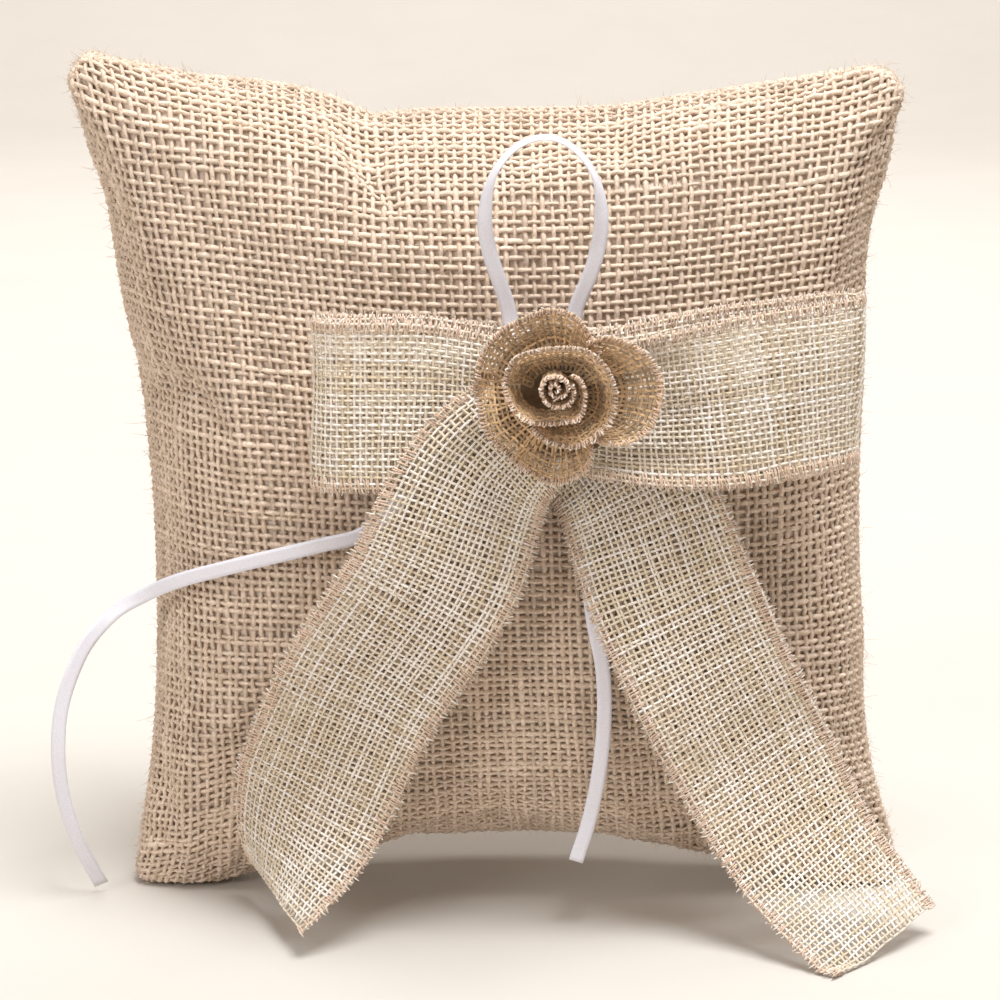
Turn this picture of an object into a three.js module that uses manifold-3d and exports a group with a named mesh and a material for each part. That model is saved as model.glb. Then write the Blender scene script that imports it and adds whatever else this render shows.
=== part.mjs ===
// Ring bearer pillow: a square jute cushion standing on its two lower corners, with a flat bow of open
// mesh ribbon, a rolled ribbon rose and a white satin ring ribbon. Millimetres, X right, Y away, Z up.
import { Box3, BoxGeometry, CatmullRomCurve3, CylinderGeometry, Group, Mesh } from "three";
import { BufferAttribute, BufferGeometry, MeshStandardMaterial, SphereGeometry, Vector3 } from "three";
import { mergeVertices } from "three/addons/utils/BufferGeometryUtils.js";
import Module from "manifold-3d";

const solids = await Module();
solids.setup();

// Cushion
const cushionHalfWidth = 97.5;
const cushionHalfHeight = 107;
const cushionHalfThickness = 40;
const footSink = 9.5;
const cushionCentreHeight = cushionHalfHeight - footSink;
const sidePull = 0.11;
const topPull = 0.09;
const bottomPull = 0.225;
const sidewaysSet = 1.5;
const sidewaysSkew = -3.3;
const coverThickness = 1.2;
const liningThickness = 0.4;
const layerGap = 0.3;
const coverSteps = 16;
const rimHalfThickness = 2;
const rimThinning = 0.8;

// Mesh ribbon: bow and rose
const ribbonWidth = 39;
const ribbonThickness = 1;
const bowMiddle = 14;
const bowBackDepth = -43.7;
const bowFrontDepth = -45;
const tailSteps = 20;
const loopSteps = 30;

// Rose
const rosePlace = [13.5, -52, 136];
const roseLean = 0.3;
const petalThickness = 0.9;
const petalTuck = 2.2;
const feltRadius = 15;
const feltThickness = 2;

// Satin ring ribbon
const satinWidth = 3.5;
const satinThickness = 0.5;
const knotHalfSize = new Vector3(11, 2.3, 4);
const knotPlace = [9.5, -40.5, 149];
const loopFootSpread = 7.6;

const jute = { color: 0xd3bd9f, roughness: 0.95 };
const calico = { color: 0xd9cdb8, roughness: 0.9 };
const fibre = { color: 0xf2efe8, roughness: 1 };
const meshRibbon = { color: 0xd8c8a6, roughness: 0.75 };
const felt = { color: 0xc9b08f, roughness: 1 };
const satin = { color: 0xe6e2ea, roughness: 0.3 };

const part = new Group();

// Ribbon stations were laid out on a cushion of these half sizes, with its middle this high.
const laidOn = { halfWidth: 97.5, halfThickness: 40, halfHeight: 107, centreHeight: 97.5 };

// Fits stations of [x, y, z, ...] from that cushion to the one above. Only what hangs below the
// cushion's middle grows or shrinks with its height, so the bow keeps its shape.
function fitted(stations) {
  return stations.map(([x, y, z, ...turn]) => {
    const fromMiddle = z - laidOn.centreHeight;
    const share = fromMiddle < 0 ? cushionCentreHeight / laidOn.centreHeight : 1;
    const across = (x * cushionHalfWidth) / laidOn.halfWidth;
    const deep = (y * cushionHalfThickness) / laidOn.halfThickness;
    return [across, deep, cushionCentreHeight + fromMiddle * share, ...turn];
  });
}

const roseCentre = new Vector3(...fitted([rosePlace])[0]);
const roseBaseDepth = roseCentre.y;
const knotCentre = new Vector3(...fitted([knotPlace])[0]);

function add(name, geometry, look) {
  const mesh = new Mesh(geometry, new MeshStandardMaterial({ ...look, metalness: 0 }));
  mesh.name = name;
  part.add(mesh);
}

// Moves every vertex of a plain solid to the place that the function gives for it.
function bend(geometry, place) {
  const position = geometry.attributes.position;
  const point = new Vector3();
  for (let i = 0; i < position.count; i += 1) {
    point.fromBufferAttribute(position, i);
    const moved = place(point);
    position.setXYZ(i, moved.x, moved.y, moved.z);
  }
  geometry.computeVertexNormals();
  return geometry;
}

// A point of the cushion's skin, sunk by inset. s and t run from -1 to 1, and side is -1 in front.
function skinPoint(s, t, side, inset) {
  const u = Math.sin((Math.PI / 2) * s);
  const v = Math.sin((Math.PI / 2) * t);
  const endPull = (topPull * (1 + v) + bottomPull * (1 - v)) / 2;
  const x = (cushionHalfWidth - inset) * u * (1 - sidePull * (1 - v * v));
  const z = (cushionHalfHeight - inset) * v * (1 - endPull * (1 - u * u));
  const dome = Math.cos((Math.PI / 2) * s) * Math.cos((Math.PI / 2) * t);
  const rim = rimHalfThickness - rimThinning * inset;
  const depth = rim + (cushionHalfThickness - rimHalfThickness - inset) * dome;
  return new Vector3(x + sidewaysSet + sidewaysSkew * v, side * depth, cushionCentreHeight + z);
}

function toManifold(geometry) {
  const bare = new BufferGeometry();
  bare.setAttribute("position", geometry.attributes.position);
  bare.setIndex(geometry.index);
  const merged = mergeVertices(bare, 1e-4);
  const vertProperties = new Float32Array(merged.attributes.position.array);
  const triVerts = new Uint32Array(merged.index.array);
  return new solids.Manifold(new solids.Mesh({ numProp: 3, vertProperties, triVerts }));
}

function toGeometry(manifold) {
  const mesh = manifold.getMesh();
  const geometry = new BufferGeometry();
  geometry.setAttribute("position", new BufferAttribute(mesh.vertProperties, 3));
  geometry.setIndex(new BufferAttribute(mesh.triVerts, 1));
  geometry.computeVertexNormals();
  return geometry;
}

// A block far larger than the cushion, whose face lies at the given place along y or z. It reaches from
// there in the given direction.
function bigBlock(axis, face, direction) {
  const reach = 4 * cushionHalfHeight;
  const block = new BoxGeometry(reach, reach, reach);
  const centre = face + (direction * reach) / 2;
  return toManifold(axis === "y" ? block.translate(0, centre, 0) : block.translate(0, 0, centre));
}

// The whole cushion sunk by inset, pressed flat where its lower corners stand.
function pillowBody(inset) {
  const block = new BoxGeometry(2, 1, 2, coverSteps, 1, coverSteps);
  const plump = bend(block, (p) => skinPoint(p.x, p.z, Math.sign(p.y), inset));
  return toManifold(plump).intersect(bigBlock("z", inset, 1));
}

// One half of a fabric skin, open at the seam plane.
function skinHalf(side, outerInset, innerInset) {
  const skin = pillowBody(outerInset).subtract(pillowBody(innerInset));
  return toGeometry(skin.intersect(bigBlock("y", (side * layerGap) / 2, side)));
}

function addCushion() {
  const liningInset = coverThickness + layerGap;
  const fillInset = liningInset + liningThickness + layerGap;
  for (const [end, side] of [["front", -1], ["back", 1]]) {
    add(`cover_${end}`, skinHalf(side, 0, coverThickness), jute);
    add(`lining_${end}`, skinHalf(side, liningInset, liningInset + liningThickness), calico);
  }
  add("fibre_fill", toGeometry(pillowBody(fillInset)), fibre);
}

// A band between two edge curves, of the given thickness about the surface that joins them.
function band(firstEdge, secondEdge, thickness, steps, acrossSteps = 2) {
  const first = new CatmullRomCurve3(firstEdge, false, "centripetal");
  const second = new CatmullRomCurve3(secondEdge, false, "centripetal");
  const block = new BoxGeometry(1, 1, 1, acrossSteps, 1, steps);
  return bend(block, (p) => {
    const along = p.z + 0.5;
    const a = first.getPoint(along);
    const b = second.getPoint(along);
    const across = b.clone().sub(a);
    const middle = a.clone().lerp(b, p.x + 0.5);
    const tangent = first.getTangent(along).lerp(second.getTangent(along), p.x + 0.5);
    const normal = tangent.cross(across).normalize();
    return middle.addScaledVector(normal, p.y * thickness);
  });
}

// A length of mesh ribbon along stations of [x, y, z, across x, across y, across z].
function addRibbon(name, stations, steps) {
  const edge = (half) =>
    stations.map(([x, y, z, ax, ay, az]) => {
      const across = new Vector3(ax, ay, az).normalize();
      return new Vector3(x, y, z).addScaledVector(across, half * ribbonWidth);
    });
  add(name, band(edge(-0.5), edge(0.5), ribbonThickness, steps), meshRibbon);
}

const tailLeftStations = [
  [10, -48.6, 131, 0.78, 0.03, -0.62],
  [-4, -49.6, 117, 0.8, 0.07, -0.6],
  [-16, -49, 90, 0.82, 0.03, -0.57],
  [-33, -42.5, 62, 0.83, -0.03, -0.55],
  [-44.5, -35.5, 35.5, 0.9, -0.22, -0.37],
  [-50.5, -34, 21, 0.76, -0.62, -0.2],
  [-54.5, -34, 9, 0.45, -0.88, 0.02],
];
const tailRightStations = [
  [14, -42, 131, 0.86, 0.02, 0.5],
  [29.5, -41.8, 112, 0.86, 0.05, 0.5],
  [40.5, -41.6, 85, 0.88, 0.1, 0.46],
  [50.5, -40.5, 63.5, 0.88, 0.2, 0.42],
  [61.5, -37, 42, 0.9, 0.28, 0.32],
  [73.5, -39.5, 22, 0.88, 0.42, 0.2],
  [91, -50, 2.8, 0.82, 0.57, 0.08],
];

function addBow() {
  const halfGap = layerGap / 2;
  const upright = [0, 0, 1];
  const left = [
    [bowMiddle - halfGap, bowBackDepth, 133],
    [-12, -43.6, 132.7],
    [-30, -41.6, 132.3],
    [-40, -41.4, 132.2],
    [-42.5, -44.6, 132.2],
    [-38.5, -48.4, 132.2],
    [-28, -49.4, 132.2],
    [-14, -47.6, 131.7],
    [4, -45.8, 130.8],
    [bowMiddle - halfGap, bowFrontDepth, 130.8],
  ];
  const right = [
    [bowMiddle + halfGap, bowBackDepth, 133],
    [40, -43.6, 134.2],
    [64, -38, 135.4],
    [79, -31.5, 136],
    [83, -33.5, 136],
    [80.5, -39, 136],
    [66, -45.6, 134.6],
    [46, -48.4, 131.8],
    [28, -46.2, 130.2],
    [bowMiddle + halfGap, bowFrontDepth, 130.6],
  ];
  addRibbon("bow_loop_left", fitted(left.map((place) => [...place, ...upright])), loopSteps);
  addRibbon("bow_loop_right", fitted(right.map((place) => [...place, ...upright])), loopSteps);
  addRibbon("bow_tail_left", fitted(tailLeftStations), tailSteps);
  addRibbon("bow_tail_right", fitted(tailRightStations), tailSteps);
}

// A turn of the rose: from one angle to another in degrees, with its foot and rim radii at both ends.
function petal({ from, to, foot, rim, rise, lean, steps }) {
  const ring = (radii, depth, lift) => {
    const points = [];
    for (let i = 0; i <= steps; i += 1) {
      const share = i / steps;
      const angle = ((from + (to - from) * share) * Math.PI) / 180;
      const radius = radii[0] + (radii[1] - radii[0]) * share;
      const x = roseCentre.x + radius * Math.cos(angle);
      const z = roseCentre.z + lift + radius * Math.sin(angle);
      points.push(new Vector3(x, depth, z));
    }
    return points;
  };
  const footDepth = roseBaseDepth - layerGap - petalThickness / 2;
  const footEdge = ring(foot, footDepth, 0);
  const rimEdge = ring(rim, footDepth - rise, lean * rise);
  return band(footEdge, rimEdge, petalThickness, steps * 2);
}

function outerPetal(from, to, reach, rise) {
  const foot = [13 + petalTuck, 13];
  const rim = [reach + petalTuck, reach];
  return petal({ from, to, foot, rim, rise, lean: 0, steps: 10 });
}

function addRose() {
  const base = new CylinderGeometry(feltRadius, feltRadius, feltThickness, 32);
  base.translate(0, roseBaseDepth + feltThickness / 2, 0);
  base.translate(roseCentre.x, 0, roseCentre.z);
  add("rose_felt_base", base, felt);
  const lean = roseLean;
  const core = { from: 40, to: 640, foot: [1.4, 5.2], rim: [1.6, 6.2], rise: 11.5, lean, steps: 22 };
  const inner = { from: 300, to: 610, foot: [6.7, 8.2], rim: [7.6, 9.2], rise: 11, lean, steps: 16 };
  const middle = { from: 170, to: 500, foot: [9.8, 11.4], rim: [12, 14], rise: 9.5, lean, steps: 18 };
  add("rose_core", petal(core), meshRibbon);
  add("rose_inner_petal", petal(inner), meshRibbon);
  add("rose_middle_petal", petal(middle), meshRibbon);
  add("rose_petal_top", outerPetal(20, 160, 19, 6.5), meshRibbon);
  add("rose_petal_left", outerPetal(140, 245, 19, 6.5), meshRibbon);
  add("rose_petal_bottom", outerPetal(225, 325, 19, 6.5), meshRibbon);
  add("rose_petal_right", outerPetal(305, 400, 19, 6.5), meshRibbon);
}

// A narrow band along stations of [x, y, z, face x, face y, face z], each face the way the satin looks.
function satinBand(stations, steps) {
  const places = stations.map(([x, y, z]) => new Vector3(x, y, z));
  const faces = stations.map(([, , , x, y, z]) => new Vector3(x, y, z));
  const route = new CatmullRomCurve3(places, false, "centripetal");
  const face = new CatmullRomCurve3(faces);
  const block = new BoxGeometry(1, 1, 1, 2, 1, steps);
  return bend(block, (p) => {
    const along = p.z + 0.5;
    const tangent = route.getTangent(along);
    const across = tangent.clone().cross(face.getPoint(along)).normalize();
    const normal = tangent.cross(across).normalize();
    const point = route.getPoint(along).addScaledVector(across, p.x * satinWidth);
    return point.addScaledVector(normal, p.y * satinThickness);
  });
}

// The loop stands on the knot, this far to either side of the knot's middle. Stations are from there.
const innerReach = (loopFootSpread - satinWidth / 2) / knotHalfSize.x;
const loopFoot = knotHalfSize.z * Math.sqrt(1 - innerReach ** 2) + layerGap;
const loopOffsets = [
  [-loopFootSpread, 0, loopFoot, 0, -1, 0],
  [-8.3, -0.3, 6.5, 0, -1, 0],
  [-10, -1, 11.5, 0, -1, 0],
  [-11.9, -1.9, 17.5, 0, -1, 0],
  [-12.9, -3.3, 25, -0.4, -0.9, 0.1],
  [-10.9, -4.1, 35, -0.85, -0.4, 0.5],
  [-5.5, -4.1, 41.3, -0.4, -0.3, 0.9],
  [1, -4.1, 43.2, 0, -0.25, 1],
  [6.8, -4.1, 40.8, 0.4, -0.3, 0.9],
  [11.6, -4.1, 34.5, 0.85, -0.4, 0.5],
  [13.1, -3.3, 25, 0.4, -0.9, 0.1],
  [12.3, -1.9, 17.5, 0, -1, 0],
  [10.6, -1, 11.5, 0, -1, 0],
  [8.5, -0.3, 6.5, 0, -1, 0],
  [loopFootSpread, 0, loopFoot, 0, -1, 0],
];
const ringLoopStations = loopOffsets.map(([x, y, z, ...face]) => {
  return [knotCentre.x + x, knotCentre.y + y, knotCentre.z + z, ...face];
});
const ringTailLeftStations = [
  [3, -40.3, 144.6, 0, -1, 0],
  [-8, -40.4, 130, 0, -1, 0],
  [-20, -41, 113, 0, -1, 0],
  [-31, -41, 101, 0, -1, 0],
  [-42, -39.5, 97.5, 0, -1, 0],
  [-62, -33, 91, -0.3, -1, 0],
  [-77, -25, 85, -0.5, -0.85, 0],
  [-86, -18, 79.5, -0.6, -0.8, 0],
  [-93, -16, 75, -0.3, -0.9, 0.3],
  [-100, -16.5, 67.5, 0.3, -0.9, 0.3],
  [-104.3, -17.5, 59, 0.2, -1, 0],
  [-107, -18, 50, 0, -1, 0],
  [-108, -18, 39.5, 0, -1, 0],
  [-107.4, -17, 28.5, 0, -1, 0],
  [-105, -15, 17, 0, -1, 0],
  [-102, -12, 8, 0, -1, 0.2],
  [-100, -9.5, 2.2, 0, -1, 0.3],
];
const ringTailRightStations = [
  [16, -40.3, 145.3, 0, -1, 0],
  [17, -39.4, 126, 0, -1, 0],
  [19.5, -40, 100, 0, -1, 0],
  [21.7, -39.6, 80, 0, -1, 0],
  [24, -38.5, 68, 0, -1, 0],
  [24.6, -37, 56, 0, -1, 0],
  [23.6, -35, 41, 0, -1, 0],
  [21.3, -33.6, 28, 0, -1, 0],
  [18.2, -34.5, 18, 0, -1, 0],
];

function addRingRibbon() {
  const knot = new SphereGeometry(1, 20, 12);
  knot.scale(knotHalfSize.x, knotHalfSize.y, knotHalfSize.z);
  knot.translate(knotCentre.x, knotCentre.y, knotCentre.z);
  add("ring_ribbon_knot", knot, satin);
  add("ring_ribbon_loop", satinBand(ringLoopStations, 32), satin);
  add("ring_ribbon_tail_left", satinBand(fitted(ringTailLeftStations), 32), satin);
  add("ring_ribbon_tail_right", satinBand(fitted(ringTailRightStations), 20), satin);
}

addCushion();
addBow();
addRose();
addRingRibbon();

// The origin is the middle of the underside of everything but the free satin.
const free = ["ring_ribbon_loop", "ring_ribbon_tail_left", "ring_ribbon_tail_right"];
const extent = new Box3();
for (const mesh of part.children) {
  if (!free.includes(mesh.name)) {
    extent.expandByObject(mesh);
  }
}
const middle = extent.getCenter(new Vector3());
part.position.set(-middle.x, -middle.y, -extent.min.z);

export default part;
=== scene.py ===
"""Looks of a ring bearer pillow: woven jute cushion, open mesh bow, rolled rose and satin ring ribbon."""

import math

import bmesh
import bpy
import numpy as np
from bpy.props import FloatProperty, FloatVectorProperty, IntProperty, PointerProperty
from mathutils import Matrix, Vector
from mathutils.kdtree import KDTree


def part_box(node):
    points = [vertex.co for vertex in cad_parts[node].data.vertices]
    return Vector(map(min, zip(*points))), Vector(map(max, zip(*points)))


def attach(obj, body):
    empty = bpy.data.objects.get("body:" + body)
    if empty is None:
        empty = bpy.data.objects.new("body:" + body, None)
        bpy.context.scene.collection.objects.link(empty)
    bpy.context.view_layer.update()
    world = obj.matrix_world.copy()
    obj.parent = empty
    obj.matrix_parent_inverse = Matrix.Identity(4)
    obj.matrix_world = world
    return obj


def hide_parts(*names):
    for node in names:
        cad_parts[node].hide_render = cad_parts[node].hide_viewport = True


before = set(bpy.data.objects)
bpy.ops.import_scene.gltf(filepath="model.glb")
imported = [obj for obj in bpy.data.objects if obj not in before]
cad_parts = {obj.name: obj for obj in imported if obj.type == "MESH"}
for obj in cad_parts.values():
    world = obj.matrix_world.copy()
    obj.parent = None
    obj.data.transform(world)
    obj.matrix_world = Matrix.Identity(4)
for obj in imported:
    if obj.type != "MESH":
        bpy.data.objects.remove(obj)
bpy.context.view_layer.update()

bl_info = {
    "name": "Ring bearer pillow",
    "version": (1, 0, 0),
    "blender": (4, 5, 0),
    "location": "3D View > Sidebar > Ring Pillow",
    "description": "Weaves and dresses a jute ring bearer pillow over its packed frame",
    "category": "Add Mesh",
}

MM = 0.001

# The cushion's outline, in millimetres about its own middle, as the CAD model has it.
HALF_WIDTH, HALF_HEIGHT, HALF_THICKNESS = 97.5, 107.0, 40.0
CENTRE_HEIGHT = 97.5
SIDE_PULL, TOP_PULL, BOTTOM_PULL = 0.11, 0.09, 0.225
SIDEWAYS_SET, SIDEWAYS_SKEW = 1.5, -3.3
RIM_HALF_THICKNESS = 2.0
CORNER_POWER = 12
# How fine the pouch's grid is, how far it lies inside the skin, and how far the skin stays off the table.
POUCH_STEPS = 64
POUCH_INSET = 1.2
FLOOR_CLEARANCE = 2.2
# The creases that are kept: up to this size, and narrower than this many grid steps each way.
CREASE_SIZE, CREASE_REACH = 2.4, 9
# The cloth simulation's length in frames, and the height below which the pouch is held.
SETTLING_FRAMES, HELD_BELOW = 20, 4
# The jute, in millimetres: how far the weave lies off the pouch and how far it waves about that,
# the seam's thread, the seam's coil, and the loose fibres.
WEAVE_OFFSET, WEAVE_WAVE = 0.7, 0.36
SEAM_THREAD, SEAM_OUT, SEAM_COIL, SEAM_CLEARANCE = 1.0, 0.6, 0.45, 0.8
FUZZ_COUNT, FUZZ_THREAD, FUZZ_AT_EDGE = 9000, 0.14, 0.35
FUZZ_LENGTH, FUZZ_LONGER = 0.7, 2.2
# How far each corner reaches out, across and up: lower left, lower right, upper left, upper right.
EARS = {(-1, -1): (9, 0), (1, -1): (7, 0), (-1, 1): (19, 20), (1, 1): (9.5, 12)}
EAR_POWER = 8
# How far the edges beside and above each corner swell out, between the corner and the edge's middle.
SWELLS = {(-1, 1): (1.8, 3.0), (1, 1): (-1.2, 1.2), (1, -1): (-1.3, 0)}

# The felt disc's face that the rose stands on.
ROSE_BASE = -52.0

# A ribbon's lowest point, in millimetres above the table.
TABLE_CLEARANCE = 1.1
# The ribbon, in millimetres: how far its weave waves, and its overlock's pitch, rise and thread.
RIBBON_WAVE = 0.2
OVERLOCK_PITCH, OVERLOCK_RISE, OVERLOCK_THREAD = 0.78, 0.4, 0.42
# The rose's overlock is finer than the bow's by this share.
ROSE_EDGE_SHARE = 0.7
# The cut loops' darkest and lightest colours, and the felt's, whose brown is darkened with painted shade for
# the recesses between the petals where it shows.
TUFT_COLOURS = ((0.72, 0.62, 0.52), (0.86, 0.8, 0.72))
FELT_AND_SHADE_COLOUR = (0.20, 0.13, 0.07)
# The petals' feet stand this far in front of the felt, and this power curls their rims out.
PETAL_FOOT_GAP, CUP_CURVE = 0.9, 0.7

# Where the cushion's own frame lies in the row frame: its left tip and its seam plane are known there.
FRONT_BOX, BACK_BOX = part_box("cover_front"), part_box("cover_back")
LEFT_TIP = -HALF_WIDTH + SIDEWAYS_SET + SIDEWAYS_SKEW
ORIGIN = np.array([FRONT_BOX[0][0] / MM - LEFT_TIP, (FRONT_BOX[1][1] + BACK_BOX[0][1]) / 2 / MM, 0.0])


TAIL_LEFT = [
    (10, -48.6, 131, 0.78, 0.03, -0.62),
    (-4, -49.6, 117, 0.8, 0.07, -0.6),
    (-16, -49, 90, 0.82, 0.03, -0.57),
    (-33, -42.5, 62, 0.83, -0.03, -0.55),
    (-44.5, -35.5, 35.5, 0.9, -0.22, -0.37),
    (-50.5, -34, 21, 0.76, -0.62, -0.2),
    (-54.5, -34, 9, 0.45, -0.88, 0.02),
]
TAIL_RIGHT = [
    (14, -42, 131, 0.86, 0.02, 0.5),
    (29.5, -41.8, 112, 0.86, 0.05, 0.5),
    (40.5, -41.6, 85, 0.88, 0.1, 0.46),
    (50.5, -40.5, 63.5, 0.88, 0.2, 0.42),
    (61.5, -37, 42, 0.9, 0.28, 0.32),
    (73.5, -39.5, 22, 0.88, 0.42, 0.2),
    (91, -50, 2.8, 0.82, 0.57, 0.08),
]
LOOP_LEFT = [
    (13.8, -43.7, 133), (-12, -43.6, 132.7), (-30, -41.6, 132.3), (-40, -41.4, 132.2),
    (-42.5, -44.6, 132.2), (-38.5, -48.4, 132.2), (-28, -49.4, 132.2), (-14, -47.6, 131.7),
    (4, -45.8, 130.8), (13.8, -45, 130.8),
]
LOOP_RIGHT = [
    (14.2, -43.7, 133), (40, -43.6, 134.2), (64, -38, 135.4), (79, -31.5, 136), (83, -33.5, 136),
    (80.5, -39, 136), (66, -45.6, 134.6), (46, -48.4, 131.8), (28, -46.2, 130.2), (14.2, -45, 130.6),
]

# The satin loop, from the knot's middle.
KNOT = (9.5, -40.5, 149)
KNOT_HALF_SIZE = (11, 2.1, 2.4)
KNOT_SINK = 3
RING_LOOP = [
    (-7.1, 0, -0.8, 0, -1, 0),
    (-7.5, 0, 3.3, 0, -1, 0),
    (-8.3, -0.3, 6.5, 0, -1, 0),
    (-10, -1, 11.5, 0, -1, 0),
    (-11.9, -1.9, 17.5, 0, -1, 0),
    (-12.9, -3.3, 25, -0.4, -0.9, 0.1),
    (-10.9, -4.1, 35, -0.85, -0.4, 0.5),
    (-5.5, -4.1, 41.3, -0.4, -0.3, 0.9),
    (1, -4.1, 43.2, 0, -0.25, 1),
    (6.8, -4.1, 40.8, 0.4, -0.3, 0.9),
    (11.6, -4.1, 34.5, 0.85, -0.4, 0.5),
    (13.1, -3.3, 25, 0.4, -0.9, 0.1),
    (12.3, -1.9, 17.5, 0, -1, 0),
    (10.6, -1, 11.5, 0, -1, 0),
    (8.5, -0.3, 6.5, 0, -1, 0),
    (7.5, 0, 3.3, 0, -1, 0),
    (7.1, 0, -0.8, 0, -1, 0),
]
RING_TAIL_LEFT = [
    (3, -40.3, 144.6, 0, -1, 0),
    (-8, -40.4, 130, 0, -1, 0),
    (-20, -41, 113, 0, -1, 0),
    (-31, -41, 101, 0, -1, 0),
    (-42, -39.5, 97.5, 0, -1, 0),
    (-62, -33, 91, -0.3, -1, 0),
    (-77, -25, 85, -0.5, -0.85, 0),
    (-86, -18, 79.5, -0.6, -0.8, 0),
    (-93, -16, 75, -0.3, -0.9, 0.3),
    (-100, -16.5, 67.5, 0.3, -0.9, 0.3),
    (-104.3, -17.5, 59, 0.2, -1, 0),
    (-107, -18, 50, 0, -1, 0),
    (-108, -18, 39.5, 0, -1, 0),
    (-107.4, -17, 28.5, 0, -1, 0),
    (-105, -15, 17, 0, -1, 0),
    (-102, -12, 8, 0, -1, 0.2),
    (-100, -9.5, 2.2, 0, -1, 0.3),
]
RING_TAIL_RIGHT = [
    (16, -40.3, 145.3, 0, -1, 0),
    (17, -39.4, 126, 0, -1, 0),
    (19.5, -40, 100, 0, -1, 0),
    (21.7, -39.6, 80, 0, -1, 0),
    (24, -38.5, 68, 0, -1, 0),
    (24.6, -37, 56, 0, -1, 0),
    (23.6, -35, 41, 0, -1, 0),
    (21.3, -33.6, 28, 0, -1, 0),
    (18.2, -34.5, 18, 0, -1, 0),
]


# ---------------------------------------------------------------- settings


class JuteSettings(bpy.types.PropertyGroup):
    """The cushion's cloth."""

    pitch_across: FloatProperty(
        name="Pitch across", description="Distance between upright threads",
        default=2.08 * MM, min=1 * MM, unit="LENGTH")
    pitch_up: FloatProperty(
        name="Pitch up", description="Distance between level threads",
        default=1.88 * MM, min=1 * MM, unit="LENGTH")
    thread: FloatProperty(
        name="Thread", description="Thickness of a jute thread",
        default=1.24 * MM, min=0.2 * MM, unit="LENGTH")
    colour: FloatVectorProperty(
        name="Jute", description="Colour of the jute", subtype="COLOR",
        default=(0.82, 0.67, 0.55), size=3, min=0, max=1)
    lining: FloatVectorProperty(
        name="Lining", description="Colour of the lining under the jute", subtype="COLOR",
        default=(0.80, 0.68, 0.58), size=3, min=0, max=1)


class RibbonSettings(bpy.types.PropertyGroup):
    """The bow's and the rose's mesh ribbon."""

    width: FloatProperty(
        name="Width", description="Width of the ribbon", default=39 * MM, min=5 * MM, unit="LENGTH")
    pitch: FloatProperty(
        name="Pitch", description="Distance between threads", default=1.35 * MM, min=0.5 * MM, unit="LENGTH")
    thread: FloatProperty(
        name="Thread", description="Thickness of a thread", default=0.66 * MM, min=0.1 * MM, unit="LENGTH")
    edge_width: FloatProperty(
        name="Edge", description="Width of the overlocked edge", default=3.0 * MM, min=1 * MM, unit="LENGTH")
    colour: FloatVectorProperty(
        name="Ribbon", description="Colour of the mesh", subtype="COLOR",
        default=(0.95, 0.89, 0.83), size=3, min=0, max=1)
    shade_colour: FloatVectorProperty(
        name="Darker threads", description="Colour of the mesh's darkest threads", subtype="COLOR",
        default=(0.72, 0.59, 0.41), size=3, min=0, max=1)
    rose_colour: FloatVectorProperty(
        name="Rose", description="Colour of the rose's mesh", subtype="COLOR",
        default=(0.59, 0.40, 0.22), size=3, min=0, max=1)
    edge_colour: FloatVectorProperty(
        name="Edge colour", description="Colour of the overlock thread", subtype="COLOR",
        default=(0.80, 0.60, 0.48), size=3, min=0, max=1)


class SatinSettings(bpy.types.PropertyGroup):
    """The ring ribbon."""

    width: FloatProperty(
        name="Width", description="Width of the satin", default=3.5 * MM, min=1 * MM, unit="LENGTH")
    thickness: FloatProperty(
        name="Thickness", description="Thickness of the satin",
        default=0.3 * MM, min=0.05 * MM, unit="LENGTH")
    colour: FloatVectorProperty(
        name="Satin", description="Colour of the satin", subtype="COLOR",
        default=(0.76, 0.74, 0.80), size=3, min=0, max=1)


class StageSettings(bpy.types.PropertyGroup):
    """The camera and the room."""

    elevation: FloatProperty(
        name="Elevation", description="Height of the camera above the horizon",
        default=math.radians(13), subtype="ANGLE")
    distance: FloatProperty(
        name="Distance", description="From the camera to the cushion's middle",
        default=640 * MM, min=0.1, unit="LENGTH")
    focal_length: FloatProperty(
        name="Focal length", description="Lens on a 36 mm sensor, in millimetres", default=93.8, min=10)


class RingPillowSettings(bpy.types.PropertyGroup):
    """All settings of the ring pillow."""

    jute: PointerProperty(type=JuteSettings)
    ribbon: PointerProperty(type=RibbonSettings)
    satin: PointerProperty(type=SatinSettings)
    stage: PointerProperty(type=StageSettings)
    seed: IntProperty(name="Seed", description="Start of the random numbers", default=7, min=0)


def settings():
    return bpy.context.scene.ring_pillow


# ---------------------------------------------------------------- curves and cloth surfaces


def placed(points):
    """Points in the cushion's own millimetres, as row-frame metres."""
    return (np.asarray(points, float) + ORIGIN) * MM


def smooth_route(points, shares):
    """Points on the centripetal Catmull-Rom curve through the given points, at shares from 0 to 1."""
    points = np.asarray(points, float)
    padded = np.vstack([2 * points[0] - points[1], points, 2 * points[-1] - points[-2]])
    position = np.asarray(shares, float) * (len(points) - 1)
    first = np.clip(position.astype(int), 0, len(points) - 2)
    weight = (position - first)[:, None]
    p0, p1, p2, p3 = (padded[first + i] for i in range(4))
    d0, d1, d2 = (np.maximum(np.linalg.norm(b - a, axis=1), 1e-9)[:, None] ** 0.5
                  for a, b in ((p0, p1), (p1, p2), (p2, p3)))
    start = ((p1 - p0) / d0 - (p2 - p0) / (d0 + d1) + (p2 - p1) / d1) * d1
    end = ((p2 - p1) / d1 - (p3 - p1) / (d1 + d2) + (p3 - p2) / d2) * d1
    bent = -3 * p1 + 3 * p2 - 2 * start - end
    turned = 2 * p1 - 2 * p2 + start + end
    return p1 + start * weight + bent * weight**2 + turned * weight**3


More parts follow.
